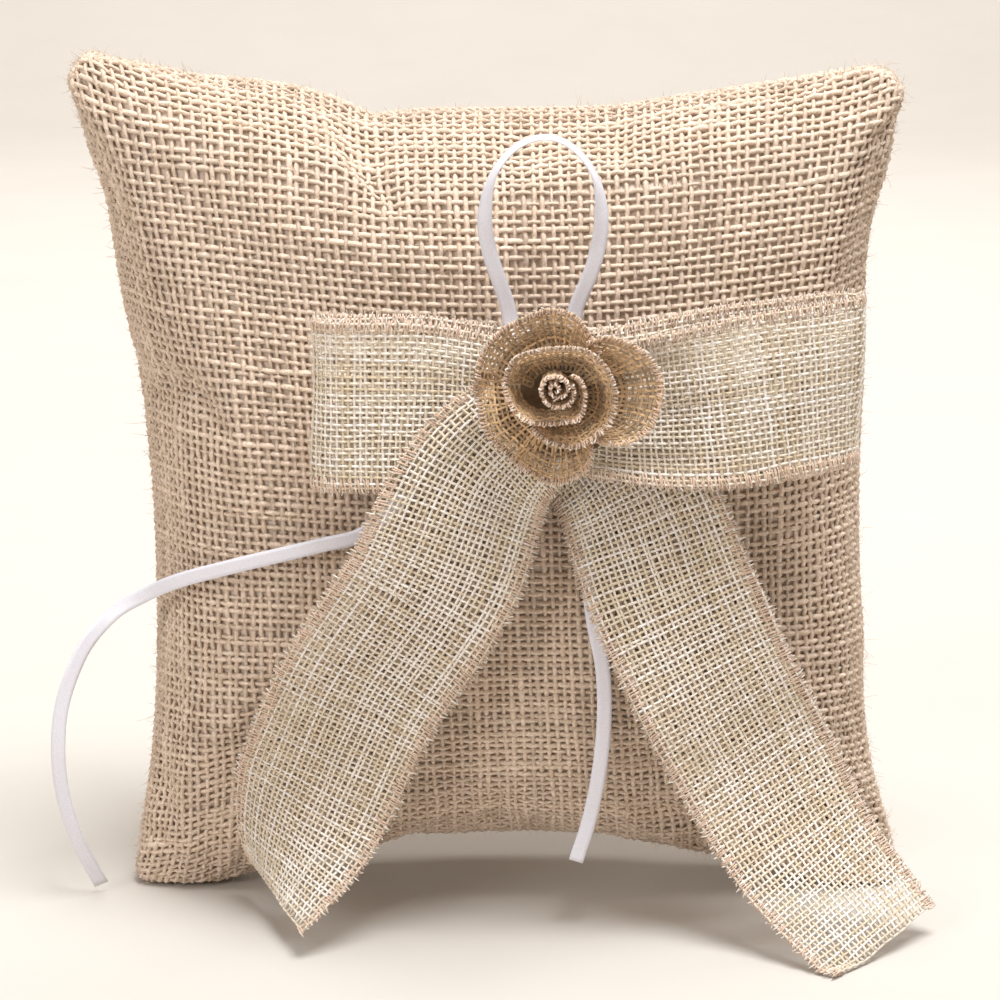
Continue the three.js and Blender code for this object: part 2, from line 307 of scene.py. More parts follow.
def even_shares(line, count):
    """Shares of a polyline's samples at which count points lie evenly along it."""
    steps = np.linalg.norm(np.diff(line, axis=0), axis=1)
    along = np.concatenate([[0], np.cumsum(steps)])
    return np.interp(np.linspace(0, along[-1], count), along, np.linspace(0, 1, len(line)))


def unit(vectors):
    return vectors / np.maximum(np.linalg.norm(vectors, axis=-1, keepdims=True), 1e-12)


class Surface:
    """A cloth as a grid of points, read smoothly at (across, along), each from 0 to 1."""

    def __init__(self, grid, flip=False):
        self.grid = np.asarray(grid, float)
        along = np.gradient(self.grid, axis=0)
        across = np.gradient(self.grid, axis=1)
        normal = unit(np.cross(across, along))
        self.normals = -normal if flip else normal
        rows, columns = self.grid.shape[:2]
        self.length = np.linalg.norm(np.diff(self.grid[:, columns // 2], axis=0), axis=1).sum()
        self.width = np.linalg.norm(np.diff(self.grid[rows // 2], axis=0), axis=1).sum()

    def read(self, values, across, along):
        rows, columns = values.shape[:2]
        y = np.clip(along, 0, 1) * (rows - 1)
        x = np.clip(across, 0, 1) * (columns - 1)
        j = np.minimum(y.astype(int), rows - 2)
        i = np.minimum(x.astype(int), columns - 2)
        fy, fx = (y - j)[..., None], (x - i)[..., None]
        low = values[j, i] * (1 - fx) + values[j, i + 1] * fx
        high = values[j + 1, i] * (1 - fx) + values[j + 1, i + 1] * fx
        return low * (1 - fy) + high * fy

    def at(self, across, along, lift=0.0):
        """Row-frame points lifted off the cloth. across may run a little past an edge."""
        across, along = np.broadcast_arrays(np.asarray(across, float), np.asarray(along, float))
        point = self.read(self.grid, across, along)
        normal = unit(self.read(self.normals, across, along))
        inside = np.clip(across, 0.02, 0.98)
        step = 0.01
        outer, inner = (self.read(self.grid, inside + way * step, along) for way in (1, -1))
        slope = (outer - inner) / 0.02
        past = np.where(across < 0, across, np.where(across > 1, across - 1, 0.0))[..., None]
        return point + slope * past + normal * np.asarray(lift)[..., None]


def ribbon_surface(stations, width, rows=160, columns=9, gather=None):
    """A ribbon of even width along stations of (x, y, z, across x, y, z), in the cushion's millimetres.

    gather gives, for each share along the ribbon, how much it is drawn together in pleats there.
    """
    stations = np.asarray(stations, float)
    rough = smooth_route(stations[:, :3], np.linspace(0, 1, 400))
    shares = even_shares(rough, rows)
    centre = smooth_route(stations[:, :3], shares)
    across = unit(smooth_route(stations[:, 3:], shares))
    tangent = unit(np.gradient(centre, axis=0))
    across = unit(across - tangent * (across * tangent).sum(1, keepdims=True))
    normal = np.cross(tangent, across)
    offsets = np.linspace(-0.5, 0.5, columns)
    along = np.linspace(0, 1, rows)
    drawn = np.zeros(rows) if gather is None else gather(along)
    reach = offsets[None, :] * width * (1 - 0.3 * drawn[:, None])
    pleat = np.sin(offsets[None, :] * 19 + 0.8 + 1.5 * along[:, None]) * drawn[:, None] * 1.1
    slack = np.sin(along * 8.0 + 0.5)[:, None] * np.sin(offsets * 5.0 + 0.4)[None, :] * 0.5
    lift = pleat + slack * (gather is not None)
    points = centre[:, None] + across[:, None] * reach[..., None] + normal[:, None] * lift[..., None]
    points[..., 2] = np.maximum(points[..., 2], TABLE_CLEARANCE)
    return Surface(placed(points))


def smooth_noise(rng, count, length):
    """A row of smooth random values of about unit size, changing over length samples."""
    knots = rng.normal(size=max(4, int(count / length) + 4))
    return np.interp(np.linspace(0, len(knots) - 1, count), np.arange(len(knots)), knots)


# ---------------------------------------------------------------- making meshes


def new_object(name, data, material):
    piece = bpy.data.objects.new(name, data)
    bpy.context.scene.collection.objects.link(piece)
    data.materials.append(material)
    return piece


def thread_object(name, strands, thickness, material):
    """Round threads as one mesh. A strand is (points, radius share at each point, tone)."""
    curve = bpy.data.curves.new(name, "CURVE")
    curve.dimensions = "3D"
    curve.twist_mode = "MINIMUM"
    curve.bevel_depth = thickness / 2
    curve.bevel_resolution = 0
    curve.use_fill_caps = True
    for points, radius, _ in strands:
        spline = curve.splines.new("POLY")
        spline.points.add(len(points) - 1)
        spline.points.foreach_set("co", np.column_stack([points, np.ones(len(points))]).ravel())
        spline.points.foreach_set("radius", np.broadcast_to(radius, len(points)).astype(np.float32))
        spline.use_smooth = True
    holder = bpy.data.objects.new(name + "_line", curve)
    mesh = bpy.data.meshes.new_from_object(holder)
    bpy.data.objects.remove(holder)
    bpy.data.curves.remove(curve)
    mesh.name = name
    # The caps' corners come first, last strand first, and then the strands themselves.
    caps = [np.full(8, tone) for _, _, tone in reversed(strands)]
    tone = np.concatenate(caps + [np.full(len(points) * 4, tone) for points, _, tone in strands])
    if len(tone) != len(mesh.vertices):
        raise RuntimeError(f"{name}: {len(mesh.vertices)} vertices for {len(tone)} thread corners")
    mesh.attributes.new("tone", "FLOAT", "POINT").data.foreach_set("value", tone.astype(np.float32))
    bm = bmesh.new()
    bm.from_mesh(mesh)
    bmesh.ops.remove_doubles(bm, verts=bm.verts, dist=1e-6)
    for face in bm.faces:
        face.smooth = True
    bm.to_mesh(mesh)
    bm.free()
    mesh.materials.clear()
    return new_object(name, mesh, material)


def woven_strands(cloth, pitch_across, pitch_along, lift, rng, steps=1, wander=0.08, slub=0.1):
    """The strands of a plain weave over a cloth: first those along it, then those across it."""
    across_count = max(2, round(cloth.width / pitch_across))
    along_count = max(2, round(cloth.length / pitch_along))
    strands = []
    for runs_along in (True, False):
        lines, crossings = (across_count, along_count) if runs_along else (along_count, across_count)
        samples = (crossings - 1) * steps + 1
        place = (np.arange(samples) / steps + 0.5) / crossings
        wave = np.cos(np.arange(samples) / steps * math.pi)
        for line in range(lines):
            drift = smooth_noise(rng, samples, 9 * steps) * wander
            fixed = (line + 0.5 + drift) / lines
            side = 1 if (line % 2 == 0) == runs_along else -1
            height = side * wave * lift
            points = cloth.at(fixed, place, height) if runs_along else cloth.at(place, fixed, height)
            radius = 1 + slub * smooth_noise(rng, samples, 5 * steps)
            strands.append((points, np.clip(radius, 0.55, 1.7), rng.random()))
    return strands


def grid_object(name, grid, material, closed=False):
    """A smooth sheet from a grid of row-frame points."""
    rows, columns = grid.shape[:2]
    bm = bmesh.new()
    bmesh.ops.create_grid(bm, x_segments=columns - 1, y_segments=rows - 1, size=1)
    for vert in bm.verts:
        i = round((vert.co.x + 1) / 2 * (columns - 1))
        j = round((vert.co.y + 1) / 2 * (rows - 1))
        vert.co = grid[j, i]
    if closed:
        bmesh.ops.remove_doubles(bm, verts=bm.verts, dist=1e-6)
    for face in bm.faces:
        face.smooth = True
    mesh = bpy.data.meshes.new(name)
    bm.to_mesh(mesh)
    bm.free()
    return new_object(name, mesh, material)


# ---------------------------------------------------------------- materials


def new_material(name):
    material = bpy.data.materials.new(name)
    material.use_nodes = True
    nodes, links = material.node_tree.nodes, material.node_tree.links
    return material, nodes, links, nodes["Principled BSDF"]


def noise(nodes, links, scale, detail=3.0, roughness=0.6):
    coordinate = nodes.new("ShaderNodeTexCoord")
    texture = nodes.new("ShaderNodeTexNoise")
    texture.inputs["Scale"].default_value = scale
    texture.inputs["Detail"].default_value = detail
    texture.inputs["Roughness"].default_value = roughness
    links.new(coordinate.outputs["Object"], texture.inputs["Vector"])
    return texture.outputs["Fac"]


def ramp(nodes, links, source, stops):
    node = nodes.new("ShaderNodeValToRGB")
    links.new(source, node.inputs["Fac"])
    elements = node.color_ramp.elements
    while len(elements) < len(stops):
        elements.new(0.5)
    for element, (place, colour) in zip(elements, stops):
        element.position = place
        element.color = (*colour, 1)
    return node.outputs["Color"]


def shade(colour, factor):
    return tuple(min(1.0, c * factor) for c in colour)


def mixed(nodes, links, first, second, factor, blend="MIX"):
    node = nodes.new("ShaderNodeMix")
    node.data_type = "RGBA"
    node.blend_type = blend
    node.inputs["Factor"].default_value = factor
    links.new(first, node.inputs["A"])
    links.new(second, node.inputs["B"])
    return node.outputs["Result"]


def bumped(nodes, links, shader, height, strength, distance):
    bump = nodes.new("ShaderNodeBump")
    bump.inputs["Strength"].default_value = strength
    bump.inputs["Distance"].default_value = distance
    links.new(height, bump.inputs["Height"])
    links.new(bump.outputs["Normal"], shader.inputs["Normal"])


def thread_material(name, dark, light, roughness, fibre_scale, fibre_depth, sheen=0.2, specks=0.5):
    """Spun thread: each strand has a tone from dark to light, with fibres and specks along it."""
    material, nodes, links, shader = new_material(name)
    tone = nodes.new("ShaderNodeAttribute")
    tone.attribute_name = "tone"
    strand = ramp(nodes, links, tone.outputs["Fac"], [(0.0, dark), (1.0, light)])
    blotch = ramp(nodes, links, noise(nodes, links, fibre_scale * 0.12, 4), [
        (0.3, (0.82, 0.78, 0.72)), (0.6, (1, 1, 1))])
    fibres = noise(nodes, links, fibre_scale, 3)
    speck = ramp(nodes, links, fibres, [(0.35, (0.72, 0.68, 0.62)), (0.62, (1, 1, 1))])
    first = mixed(nodes, links, strand, blotch, 0.8, "MULTIPLY")
    links.new(mixed(nodes, links, first, speck, specks, "MULTIPLY"), shader.inputs["Base Color"])
    shader.inputs["Roughness"].default_value = roughness
    shader.inputs["Sheen Weight"].default_value = sheen
    shader.inputs["Sheen Roughness"].default_value = 0.6
    shader.inputs["Specular IOR Level"].default_value = 0.3
    bumped(nodes, links, shader, fibres, 0.7, fibre_depth)
    return material


def cloth_material(name, colour, scale):
    material, nodes, links, shader = new_material(name)
    grain = noise(nodes, links, scale, 4)
    links.new(ramp(nodes, links, grain, [(0.3, shade(colour, 0.75)), (0.7, shade(colour, 1.1))]),
              shader.inputs["Base Color"])
    shader.inputs["Roughness"].default_value = 0.95
    bumped(nodes, links, shader, grain, 0.5, 0.0002)
    return material


def satin_material(name, colour):
    material, nodes, links, shader = new_material(name)
    weave = noise(nodes, links, 2600, 2)
    links.new(ramp(nodes, links, weave, [(0.3, shade(colour, 0.93)), (0.7, shade(colour, 1.04))]),
              shader.inputs["Base Color"])
    shader.inputs["Roughness"].default_value = 0.32
    shader.inputs["Anisotropic"].default_value = 0.5
    shader.inputs["Sheen Weight"].default_value = 0.3
    shader.inputs["Specular IOR Level"].default_value = 0.6
    bumped(nodes, links, shader, weave, 0.25, 0.00005)
    return material


# ---------------------------------------------------------------- cushion


def swell(share):
    """A rise that starts at 0.3, is highest at about 0.6 and ends short of the corner."""
    return np.sin(np.pi * np.clip((share - 0.3) / 0.58, 0, 1))


def cushion_point(a, b, side, inset=0.0):
    """Skin points in the cushion's millimetres. a and b run from 0 to 1 evenly over the cloth."""
    s, t = even_angle(a, HALF_WIDTH), even_angle(b, HALF_HEIGHT)
    u, v = np.sin(s), np.sin(t)
    rounding = np.maximum(np.abs(u) ** CORNER_POWER + np.abs(v) ** CORNER_POWER, 1e-9) ** (-1 / CORNER_POWER)
    rounding = np.minimum(rounding, 1)
    u, v = u * rounding, v * rounding
    end_pull = (TOP_PULL * (1 + v) + BOTTOM_PULL * (1 - v)) / 2
    x = (HALF_WIDTH - inset) * u * (1 - SIDE_PULL * (1 - v**2)) + SIDEWAYS_SET + SIDEWAYS_SKEW * v
    z = (HALF_HEIGHT - inset) * v * (1 - end_pull * (1 - u**2)) + CENTRE_HEIGHT
    for (right, top), (out, up) in EARS.items():
        near = np.clip(u * right, 0, 1) * np.clip(v * top, 0, 1)
        x = x + right * out * near**EAR_POWER
        z = z + top * up * near**EAR_POWER
    for (right, top), (out, up) in SWELLS.items():
        beside, above = np.clip(u * right, 0, 1), np.clip(v * top, 0, 1)
        x = x + right * out * swell(above) * beside**4
        z = z + top * up * swell(beside) * above**4
    z = np.maximum(z, FLOOR_CLEARANCE)
    dome = (HALF_THICKNESS - RIM_HALF_THICKNESS - inset) * np.cos(s) * np.cos(t)
    return np.stack([x, side * dome, z], axis=-1)


def even_angle(share, half_size):
    """The angle across the cushion at which the given share of its curved cloth is passed."""
    angles = np.linspace(-math.pi / 2, math.pi / 2, 721)
    speed = np.hypot(half_size * np.cos(angles), (HALF_THICKNESS - RIM_HALF_THICKNESS) * np.sin(angles))
    passed = np.concatenate([[0], np.cumsum((speed[1:] + speed[:-1]) / 2)])
    return np.interp(share, passed / passed[-1], angles)


stored = {}


def pouch_surfaces():
    """The front and back cloth after the pouch is blown up and settles."""
    if "pouch" in stored:
        return stored["pouch"]
    shares = np.linspace(0, 1, POUCH_STEPS + 1)
    across, along = np.meshgrid(shares, shares)
    starts = [placed(cushion_point(across, along, side, POUCH_INSET)) for side in (-1, 1)]
    bm = bmesh.new()
    for start in starts:
        made = bmesh.ops.create_grid(bm, x_segments=POUCH_STEPS, y_segments=POUCH_STEPS, size=1)
        for vert in made["verts"]:
            i = round((vert.co.x + 1) / 2 * POUCH_STEPS)
            j = round((vert.co.y + 1) / 2 * POUCH_STEPS)
            vert.co = start[j, i]
    bmesh.ops.remove_doubles(bm, verts=bm.verts, dist=1e-6)
    bmesh.ops.recalc_face_normals(bm, faces=bm.faces)
    mesh = bpy.data.meshes.new("pouch")
    bm.to_mesh(mesh)
    bm.free()
    pouch = bpy.data.objects.new("pouch", mesh)
    bpy.context.scene.collection.objects.link(pouch)
    before = np.array([v.co for v in mesh.vertices])
    after = settled(pouch)
    bpy.data.objects.remove(pouch)
    tree = KDTree(len(before))
    for number, point in enumerate(before):
        tree.insert(point, number)
    tree.balance()
    surfaces = []
    for start, flip in zip(starts, (False, True)):
        index = np.array([[tree.find(point)[1] for point in row] for row in start])
        creases = wrinkles(after[index] - before[index])
        grid = before[index] + creases
        grid[..., 2] = np.maximum(grid[..., 2], FLOOR_CLEARANCE * MM)
        surfaces.append(Surface(grid, flip))
    stored["pouch"] = surfaces
    return surfaces


def wrinkles(moved):
    """The fine part of how a cloth moved: its slow swelling is left out and its size is limited."""
    reach, most = CREASE_REACH, CREASE_SIZE * MM
    weights = np.exp(-np.linspace(-1.5, 1.5, 2 * reach + 1) ** 2)
    weights /= weights.sum()
    slow = moved
    for axis in (0, 1):
        edges = [(reach, reach) if n == axis else (0, 0) for n in range(3)]
        wide = np.pad(slow, edges, mode="reflect", reflect_type="odd")
        slow = np.apply_along_axis(lambda row: np.convolve(row, weights, mode="valid"), axis, wide)
    fine = moved - slow
    far = np.linalg.norm(fine, axis=-1, keepdims=True)
    return fine * np.minimum(1, most / np.maximum(far, 1e-9))


def settled(pouch):
    """Blows the pouch up as cloth and returns where its vertices come to rest."""
    group = pouch.vertex_groups.new(name="feet")
    feet = [v.index for v in pouch.data.vertices if v.co.z < HELD_BELOW * MM]
    group.add(feet, 1.0, "REPLACE")
    modifier = pouch.modifiers.new("cloth", "CLOTH")
    cloth = modifier.settings
    cloth.quality = 6
    cloth.mass = 0.25
    cloth.tension_stiffness = 20
    cloth.compression_stiffness = 12
    cloth.shear_stiffness = 6
    cloth.bending_stiffness = 0.25
    cloth.use_pressure = True
    cloth.uniform_pressure_force = 4
    cloth.shrink_min = -0.035
    cloth.shrink_max = -0.035
    cloth.vertex_group_mass = "feet"
    cloth.effector_weights.gravity = 0
    modifier.collision_settings.use_collision = False
    scene = bpy.context.scene
    scene.frame_start, scene.frame_end = 1, SETTLING_FRAMES
    for step in range(1, SETTLING_FRAMES + 1):
        scene.frame_set(step)
    shape = pouch.evaluated_get(bpy.context.evaluated_depsgraph_get()).to_mesh()
    after = np.array([v.co for v in shape.vertices])
    scene.frame_set(1)
    return after


def make_cushion():
    jute, rng = settings().jute, np.random.default_rng(settings().seed)
    front, back = pouch_surfaces()
    calico = cloth_material("lining_cloth", jute.lining, 900)
    shell = np.concatenate([front.grid, back.grid[:, ::-1]], axis=1)
    lining = grid_object("lining_pouch", shell, calico, closed=True)
    lining.data.flip_normals()
    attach(lining, "pillow")
    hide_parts("lining_front", "lining_back", "fibre_fill")
    material = thread_material("jute_thread", shade(jute.colour, 0.9), shade(jute.colour, 1.12),
                               0.95, 1800, 0.0003, sheen=0.1, specks=1.0)
    for name, cloth in (("front", front), ("back", back)):
        raised = Surface(cloth.grid + cloth.normals * WEAVE_OFFSET * MM)
        raised.normals = cloth.normals
        strands = woven_strands(raised, jute.pitch_across, jute.pitch_up, WEAVE_WAVE * MM, rng,
                                steps=2, wander=0.11, slub=0.17)
        upright = round(raised.width / jute.pitch_across)
        for part, some in (("warp", strands[:upright]), ("weft", strands[upright:])):
            piece = thread_object(f"jute_{name}_{part}", some, jute.thread, material)
            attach(piece, "pillow")
            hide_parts(f"cover_{name}")
    seam = thread_object("jute_seam", seam_strands(front, rng), SEAM_THREAD * MM, material)
    fibres = fuzz_strands((front, back), FUZZ_COUNT, rng)
    fuzz = thread_object("jute_fuzz", fibres, FUZZ_THREAD * MM, material)
    for piece in (seam, fuzz):
        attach(piece, "pillow")


def seam_strands(cloth, rng):
    """Two plies twisted together along the edge where front and back meet."""
    share = np.linspace(0, 1, 420)[:-1]
    none, full = np.zeros_like(share), np.ones_like(share)
    across = np.concatenate([share, full, 1 - share, none])
    along = np.concatenate([none, share, full, 1 - share])
    edge = cloth.at(across, along)
    middle = edge.mean(axis=0)
    outward = unit(edge - middle)
    turn = np.arange(len(edge)) * 0.9
    strands = []
    for start in (0, math.pi):
        angle = turn + start
        offset = outward * (SEAM_OUT + SEAM_COIL * np.cos(angle))[:, None] * MM
        sideways = np.array([0, 1, 0]) * (SEAM_COIL * np.sin(angle))[:, None] * MM
        points = edge + offset + sideways
        points[:, 2] = np.maximum(points[:, 2], SEAM_CLEARANCE * MM)
        radius = np.clip(1 + 0.12 * smooth_noise(rng, len(points), 9), 0.6, 1.5)
        strands.append((points, radius, rng.random()))
    return strands


def fuzz_strands(cloths, count, rng):
    """Loose fibres: most lie over the jute, and those by the cushion's edges stand off it."""
    strands = []
    share = np.linspace(0, 1, 4)[:, None]
    middle = np.array([ORIGIN[0] * MM, ORIGIN[1] * MM, CENTRE_HEIGHT * MM])
    for number in range(count):
        cloth = cloths[number % 2]
        across, along = rng.random(2)
        at_edge = rng.random() < FUZZ_AT_EDGE
        if at_edge and rng.random() < 0.5:
            across = round(across) + 0.03 * rng.random() * (1 - 2 * round(across))
        elif at_edge:
            along = round(along) + 0.03 * rng.random() * (1 - 2 * round(along))
        root = cloth.at(across, along, 1.2 * MM)
        normal = unit(cloth.at(across, along, 2.2 * MM) - root)
        stray = unit(rng.normal(size=3))
        if at_edge:
            way = unit(normal * rng.random() + unit(root - middle) * rng.random() + 0.7 * stray)
        else:
            way = unit(stray - normal * (stray @ normal) * 0.8 + normal * 0.15)
        bend = 0.4 * rng.normal(size=3)
        length = (FUZZ_LENGTH + FUZZ_LONGER * rng.random() ** 3) * MM
        points = root + way * length * share + bend * length * share**2
        points[:, 2] = np.maximum(points[:, 2], 0.3 * MM)
        strands.append((points, np.linspace(1, 0.4, 4), rng.random()))
    return strands


# ---------------------------------------------------------------- bow


def overlock_strand(cloth, edge, width, turns_pitch, rise, rng):
    """A thread wound closely round one edge of a ribbon. edge is 0 or 1."""
    turns = int(cloth.length / turns_pitch)
    angle = np.arange(turns * 6 + 1) / 6 * 2 * math.pi
    along = np.linspace(0, 1, len(angle))
    along = along + 0.5 * turns_pitch / cloth.length * smooth_noise(rng, len(angle), 4)
    inner = 1 + 0.14 * smooth_noise(rng, len(angle), 5)
    reach = width / cloth.width * inner * (0.5 - 0.5 * np.cos(angle)) - 0.004
    across = reach if edge == 0 else 1 - reach
    return cloth.at(across, np.clip(along, 0, 1), rise * np.sin(angle))


def tuft_strands(cloth, edge, pitch, rng):
    """Small white loops of cut thread that stand out past the overlocked edge."""
    strands = []
    for place in np.arange(0.5, cloth.length / pitch) * pitch / cloth.length:
        if rng.random() < 0.12:
            continue
        out = max(0.25, 0.75 + 0.3 * rng.normal()) * MM / cloth.width
        slant = 0.25 * rng.normal() * pitch / cloth.length
        reach = np.array([0.9 * MM / cloth.width, 0, -0.6 * out, -out])
        along = np.clip(place + slant * np.array([0, 0.5, 1, 1.2]), 0, 1)
        across = reach if edge == 0 else 1 - reach
        points = cloth.at(across, along, MM * np.array([0.35, 0.25, 0.1, 0.0]) * rng.normal())
        strands.append((points, np.array([1, 1.1, 0.8, 0.5]), rng.random()))
    return strands


def ribbon_materials():
    if "ribbon" not in stored:
        ribbon = settings().ribbon
        stored["ribbon"] = {
            "mesh": thread_material("mesh_thread", ribbon.shade_colour, ribbon.colour, 0.45, 2600, 0.00008,
                                    0.35, specks=0.25),
            "rose": thread_material("rose_thread", shade(ribbon.rose_colour, 0.6),
                                    shade(ribbon.rose_colour, 1.6), 0.4, 2200, 0.00008, 0.35),
            "edge": thread_material("edge_thread", shade(ribbon.edge_colour, 0.9),
                                    shade(ribbon.edge_colour, 1.1), 0.75, 1600, 0.0001, 0.3, specks=1.0),
            "tuft": thread_material("tuft_thread", *TUFT_COLOURS, 0.8, 3000, 0.0001, 0.3),
        }
    return stored["ribbon"]


def make_ribbon(name, cloth, edges, rng, colour="mesh", edge_share=1.0):
    """A mesh ribbon with its overlocked edges. Returns the mesh piece and its edge pieces."""
    ribbon, looks = settings().ribbon, ribbon_materials()
    strands = woven_strands(cloth, ribbon.pitch, ribbon.pitch, RIBBON_WAVE * MM, rng, wander=0.12, slub=0.08)
    mesh = thread_object(f"{name}_mesh", strands, ribbon.thread, looks[colour])
    wound = ribbon.edge_width * edge_share, OVERLOCK_PITCH * MM * edge_share, OVERLOCK_RISE * MM
    overlock = [(overlock_strand(cloth, e, *wound, rng), 1.0, rng.random()) for e in edges]
    tufts = [strand for e in edges for strand in tuft_strands(cloth, e, ribbon.pitch, rng)]
    edge = thread_object(f"{name}_overlock", overlock, OVERLOCK_THREAD * MM, looks["edge"])
    tuft = thread_object(f"{name}_tufts", tufts, OVERLOCK_THREAD * MM, looks["tuft"])
    for piece in (mesh, edge, tuft):
        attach(piece, "pillow")
    return mesh, [edge, tuft]


def near_knot(ends):
    """How far each share along a ribbon is drawn together: fully at the rose, not at all away from it."""
    def gather(along):
        gone = along if ends == "first" else np.minimum(along, 1 - along)
        return np.clip(1 - gone / 0.3, 0, 1) ** 1.5
    return gather


def make_bow():
    rng = np.random.default_rng(settings().seed + 1)
    width = settings().ribbon.width
    upright = (0, 0, 1)
    routes = {
        "bow_loop_left": ([(*p, *upright) for p in LOOP_LEFT], "folded", "bow_tail_right", "both"),
        "bow_loop_right": ([(*p, *upright) for p in LOOP_RIGHT], "folded", "bow_tail_right", "both"),
        "bow_tail_left": (TAIL_LEFT, "hung", "bow_loop_left", "first"),
        "bow_tail_right": (TAIL_RIGHT, "hung", "ring_ribbon_knot", "first"),
    }
    for node, (stations, held, under, drawn) in routes.items():
        cloth = ribbon_surface(stations, width / MM, columns=41, gather=near_knot(drawn))
        mesh, edges = make_ribbon(node, cloth, (0, 1), rng)
        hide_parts(node)


# ---------------------------------------------------------------- rose


ROSE_MIDDLE = (13.7, 134.6)

# Each petal's rim as (x, z) in the cushion's millimetres, its depth, and its foot as a share of the rim's
# way out from the rose's middle.
PETALS = {
    "rose_petal_top": (-58.0, 0.45, [
        (22.5, 145.5), (20.4, 149.6), (16.4, 154.6), (10.6, 156.0), (3.5, 153.4), (-2.2, 149.3),
        (-5.0, 144.2), (-5.6, 139.9)]),
    "rose_petal_left": (-57.4, 0.42, [
        (-5.2, 143.0), (-5.9, 139.0), (-5.2, 133.6), (-3.2, 127.2), (0.8, 123.2), (5.9, 118.7)]),
    "rose_petal_bottom": (-58.2, 0.42, [
        (2.0, 121.6), (6.0, 118.9), (11.3, 116.2), (16.0, 117.1), (19.6, 119.6), (20.5, 122.7),
        (20.3, 125.7)]),
    "rose_petal_right": (-58.6, 0.38, [
        (19.0, 148.5), (22.8, 150.0), (27.2, 149.2), (31.6, 146.9), (34.6, 143.4), (36.2, 138.6),
        (35.3, 133.2), (33.6, 128.9), (29.6, 126.1), (24.7, 125.4), (20.3, 126.5)]),
    "rose_middle_petal": (-61.6, 0.45, [
        (0.5, 139.5), (1.4, 142.8), (3.1, 145.6), (7.6, 147.4), (13.3, 148.0), (19.4, 147.2),
        (22.8, 144.5), (25.2, 140.1), (25.8, 136.1), (24.7, 131.0), (21.4, 127.7), (18.0, 125.6),
        (13.9, 125.6), (10.6, 126.6), (6.6, 129.9)]),
    "rose_inner_petal": (-63.0, 0.62, [
        (15.6, 142.0), (17.6, 141.0), (18.7, 138.6), (18.7, 135.3), (17.6, 132.2), (14.3, 131.2),
        (9.2, 130.9), (5.8, 131.6), (2.8, 134.0), (1.3, 137.1), (0.6, 140.2)]),
    "rose_core": (-63.8, 0.8, [
        (12.4, 138.2), (13.0, 139.3), (11.9, 140.1), (10.9, 139.0), (11.5, 137.4), (13.2, 137.0),
        (14.9, 138.2), (14.6, 140.4), (12.4, 141.7), (9.9, 141.0), (9.0, 138.4), (10.0, 136.0),
        (12.4, 134.9), (14.8, 135.3), (16.2, 137.2), (15.9, 139.9)]),
}


def petal_surface(depth, foot_share, rim, rng):
    """A petal as a cupped strip of ribbon: it stands up from its foot and its rim turns outward."""
    rows, columns = 110, 13
    route = smooth_route([(x, 0, z) for x, z in rim], np.linspace(0, 1, 400))
    rim_line = smooth_route([(x, 0, z) for x, z in rim], even_shares(route, rows))[:, [0, 2]]
    spread = np.linalg.norm(rim_line - ROSE_MIDDLE, axis=1).mean()
    middle = np.array(ROSE_MIDDLE) if spread > 9 else rim_line.mean(axis=0)
    foot_line = middle + (rim_line - middle) * foot_share
    foot_depth = ROSE_BASE - PETAL_FOOT_GAP
    up = np.linspace(0, 1, columns)[None, :, None]
    flat = foot_line[:, None] + (rim_line - foot_line)[:, None] * up**CUP_CURVE
    ruffle = smooth_noise(rng, rows, 14)[:, None] * 0.35 * up[..., 0] ** 2
    high = foot_depth + (depth - foot_depth) * up[..., 0] ** 1.25 + ruffle
    high = np.broadcast_to(high, flat.shape[:2])
    return Surface(placed(np.stack([flat[..., 0], high, flat[..., 1]], axis=-1)))


def make_rose():
    rng = np.random.default_rng(settings().seed + 2)
    turns = {node: petal_surface(*shape, rng) for node, shape in PETALS.items()}
    for node, cloth in turns.items():
        mesh, edges = make_ribbon(node, cloth, (1,), rng, colour="rose",
                                  edge_share=ROSE_EDGE_SHARE)
        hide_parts(node)
    # The felt's colour holds painted shade: it is made dark to stand for the shade in the recesses between
    # the petals.
    felt = cloth_material("rose_felt", FELT_AND_SHADE_COLOUR, 700)
    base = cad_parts["rose_felt_base"]
    base.data.materials.clear()
    base.data.materials.append(felt)


# ---------------------------------------------------------------- ring ribbon


def make_satin_band(name, stations, body):
    satin = settings().satin
    cloth = ribbon_surface([(*s[:3], *across) for s, across in zip(stations, satin_across(stations))],
                           satin.width / MM, rows=120, columns=5)
    piece = grid_object(f"{name}_satin", cloth.grid, stored["satin"])
    solid = piece.modifiers.new("thickness", "SOLIDIFY")
    solid.thickness = satin.thickness
    solid.offset = 0
    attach(piece, body)
    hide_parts(name)
    return piece


def satin_across(stations):
    """The satin's width direction at each station, from the way that its face looks."""
    route = np.array([s[:3] for s in stations], float)
    face = np.array([s[3:] for s in stations], float)
    return unit(np.cross(unit(np.gradient(route, axis=0)), face))


